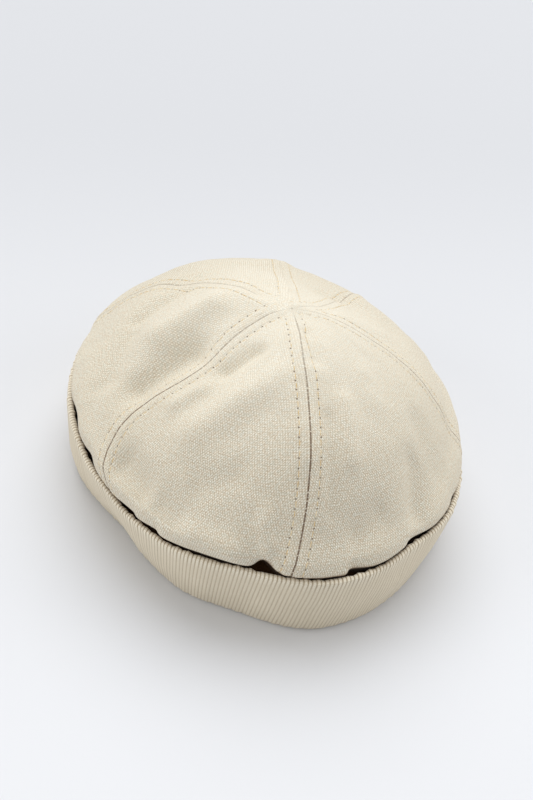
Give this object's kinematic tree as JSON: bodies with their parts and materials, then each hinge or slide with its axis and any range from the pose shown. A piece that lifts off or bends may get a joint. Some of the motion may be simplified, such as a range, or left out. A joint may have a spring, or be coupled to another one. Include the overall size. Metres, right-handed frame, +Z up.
{
  "type": "brimless sailor cap",
  "caption": "Soft round canvas cap with no peak, sewn from gores that meet on top, with a ribbed knit cuff turned up all round and an open hollow for the head.",
  "frame": {"origin": "middle of the cap's outline seen from above, on the surface that its cuff stands on", "axes": "+Z up through the crown, -Y towards the front seam, +Y towards the back of the head"},
  "size_m": [0.1834, 0.2108, 0.1008],
  "materials": {
    "crown_canvas": "matte natural cotton canvas",
    "rib_knit": "matte natural cotton rib knit"
  },
  "bodies": {
    "root": {"crown_panel_front_left": "crown_canvas", "crown_panel_left": "crown_canvas", "crown_panel_back_left": "crown_canvas", "crown_panel_back_right": "crown_canvas", "crown_panel_right": "crown_canvas", "crown_panel_front_right": "crown_canvas", "rib_band": "rib_knit"}
  },
  "joints": []
}
